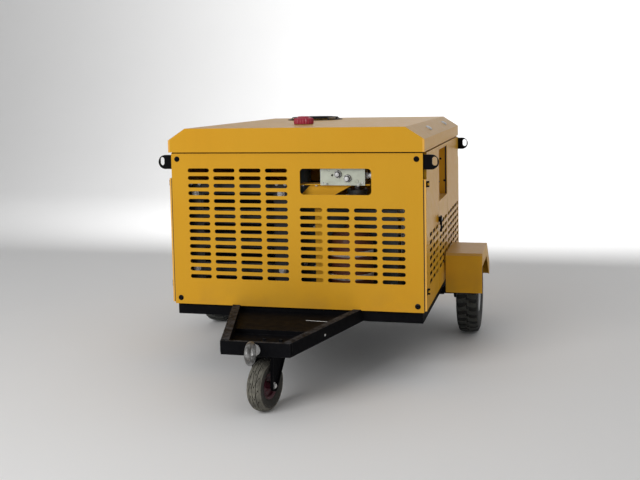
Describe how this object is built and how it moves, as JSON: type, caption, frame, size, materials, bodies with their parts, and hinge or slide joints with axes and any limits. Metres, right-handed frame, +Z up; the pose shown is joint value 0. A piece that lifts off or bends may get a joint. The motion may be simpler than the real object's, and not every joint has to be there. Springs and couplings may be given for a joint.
{
  "type": "trailer-mounted hydraulic power unit",
  "caption": "Towable electric hydraulic power unit: slotted yellow sheet-metal canopy on a black frame with an A-shaped drawbar, towing eye, front caster and fendered rear wheels.",
  "frame": {"origin": "on the ground under the middle of the whole length, on the centreline", "axes": "+Z up, +X to the unit's right seen from the drawbar end, +Y from the towing eye to the rear"},
  "size_m": [1.696, 2.296, 1.2605],
  "materials": {
    "yellow_paint": "glossy powder coat with light dust",
    "black_paint": "satin black enamel",
    "zinc": "bright zinc plate",
    "rim_red": "dark red enamel",
    "rim_silver": "silver enamel",
    "tyre_black": "worn rubber",
    "caster_rubber": "dusty worn rubber",
    "grey_machine": "machine grey enamel",
    "dark_core": "dull finned aluminium",
    "block_steel": "zinc-plated machined block",
    "filter_alu": "cast aluminium",
    "hose_rubber": "matt hose cover",
    "cap_red": "moulded red plastic",
    "coupling_red": "painted cast iron",
    "brown_paint": "red-brown primer",
    "rotor_steel": "machined steel",
    "fan_black": "moulded black plastic",
    "button_red": "moulded plastic",
    "button_green": "moulded plastic",
    "switch_black": "moulded plastic"
  },
  "bodies": {
    "chassis": {"base_frame": "black_paint", "floor_pan": "black_paint", "drawbar_frame": "black_paint", "caster_bracket": "black_paint", "tow_eye": "zinc", "caster_top_plate": "zinc", "caster_plate_bolts": "black_paint", "axle_beam": "black_paint", "fender_left": "yellow_paint", "fender_right": "yellow_paint", "fender_brackets": "black_paint", "canopy_frame": "black_paint", "lifting_lugs": "black_paint", "front_panel": "yellow_paint", "rear_panel": "yellow_paint", "side_panels_left": "yellow_paint", "side_panels_right": "yellow_paint", "corner_trims": "yellow_paint", "door_hinges": "black_paint", "roof_cover": "yellow_paint", "panel_bolts": "black_paint", "roof_bolts": "zinc", "roof_fan_guard": "black_paint", "roof_fan_motor": "black_paint", "oil_tank": "grey_machine", "return_filter": "filter_alu", "accumulator": "brown_paint", "oil_cooler": "dark_core", "manifold_shelf": "yellow_paint", "manifold_block": "block_steel", "port_adapters": "zinc", "hydraulic_hoses": "hose_rubber", "electric_motor": "grey_machine", "bellhousing": "filter_alu", "hydraulic_pump": "grey_machine", "control_box": "yellow_paint"},
    "caster_fork": {"caster_fork": "black_paint", "caster_axle": "zinc"},
    "caster_wheel": {"caster_rim": "rim_red", "caster_tyre": "caster_rubber"},
    "wheel_left": {"wheel_hub_left": "black_paint", "wheel_rim_left": "rim_silver", "wheel_tyre_left": "tyre_black", "wheel_nuts_left": "zinc"},
    "wheel_right": {"wheel_hub_right": "black_paint", "wheel_rim_right": "rim_silver", "wheel_tyre_right": "tyre_black", "wheel_nuts_right": "zinc"},
    "door_left": {"door_left": "yellow_paint"},
    "door_right": {"door_right": "yellow_paint"},
    "latch_left": {"door_latch_left": "black_paint"},
    "latch_right": {"door_latch_right": "black_paint"},
    "filler_cap": {"filler_cap": "cap_red"},
    "roof_fan": {"roof_fan": "fan_black"},
    "drive_shaft": {"motor_rotor": "rotor_steel", "shaft_coupling": "coupling_red"},
    "emergency_stop": {"emergency_stop": "button_red"},
    "start_button": {"start_button": "button_green"},
    "stop_button": {"stop_button": "button_red"},
    "main_switch": {"main_switch": "switch_black"}
  },
  "joints": [
    {"name": "caster_swivel", "type": "hinge", "parent": "chassis", "child": "caster_fork", "pos_m": [0.01, -0.85, 0.246], "axis": [0, 0, 1], "continuous": true},
    {"name": "caster_wheel_spin", "type": "hinge", "parent": "caster_fork", "child": "caster_wheel", "pos_m": [-0.00144, -0.9038, 0.115], "axis": [0.9781, -0.2079, 0], "continuous": true},
    {"name": "wheel_left_spin", "type": "hinge", "parent": "chassis", "child": "wheel_left", "pos_m": [-0.757, 0.606, 0.2325], "axis": [1, 0, 0], "continuous": true},
    {"name": "wheel_right_spin", "type": "hinge", "parent": "chassis", "child": "wheel_right", "pos_m": [0.757, 0.606, 0.2325], "axis": [1, 0, 0], "continuous": true},
    {"name": "door_left_swing", "type": "hinge", "parent": "chassis", "child": "door_left", "pos_m": [-0.65, -0.364, 0.7], "axis": [0, 0, 1], "range_deg": [0, 90]},
    {"name": "door_right_swing", "type": "hinge", "parent": "chassis", "child": "door_right", "pos_m": [0.65, -0.364, 0.7], "axis": [0, 0, -1], "range_deg": [0, 90]},
    {"name": "latch_left_turn", "type": "hinge", "parent": "door_left", "child": "latch_left", "pos_m": [-0.643, 0.068, 0.72], "axis": [-1, 0, 0], "range_deg": [0, 90]},
    {"name": "latch_right_turn", "type": "hinge", "parent": "door_right", "child": "latch_right", "pos_m": [0.643, 0.068, 0.72], "axis": [-1, 0, 0], "range_deg": [0, 90]},
    {"name": "filler_cap_turn", "type": "hinge", "parent": "chassis", "child": "filler_cap", "pos_m": [-0.06, 0.046, 1.23], "axis": [0, 0, 1], "range_deg": [0, 90]},
    {"name": "roof_fan_spin", "type": "hinge", "parent": "chassis", "child": "roof_fan", "pos_m": [-0.19, 0.796, 1.18], "axis": [0, 0, 1], "continuous": true},
    {"name": "motor_spin", "type": "hinge", "parent": "chassis", "child": "drive_shaft", "pos_m": [0, 0.686, 0.59], "axis": [1, 0, 0], "continuous": true},
    {"name": "emergency_stop_press", "type": "slide", "parent": "chassis", "child": "emergency_stop", "axis": [-1, 0, 0], "range_m": [0, 0.005]},
    {"name": "start_button_press", "type": "slide", "parent": "chassis", "child": "start_button", "axis": [-1, 0, 0], "range_m": [0, 0.003], "stiffness_N_per_m": 400, "springref_m": -0.002},
    {"name": "stop_button_press", "type": "slide", "parent": "chassis", "child": "stop_button", "axis": [-1, 0, 0], "range_m": [0, 0.003], "stiffness_N_per_m": 400, "springref_m": -0.002},
    {"name": "main_switch_turn", "type": "hinge", "parent": "chassis", "child": "main_switch", "pos_m": [0.592, 0.366, 0.89], "axis": [1, 0, 0], "range_deg": [0, 90]}
  ]
}
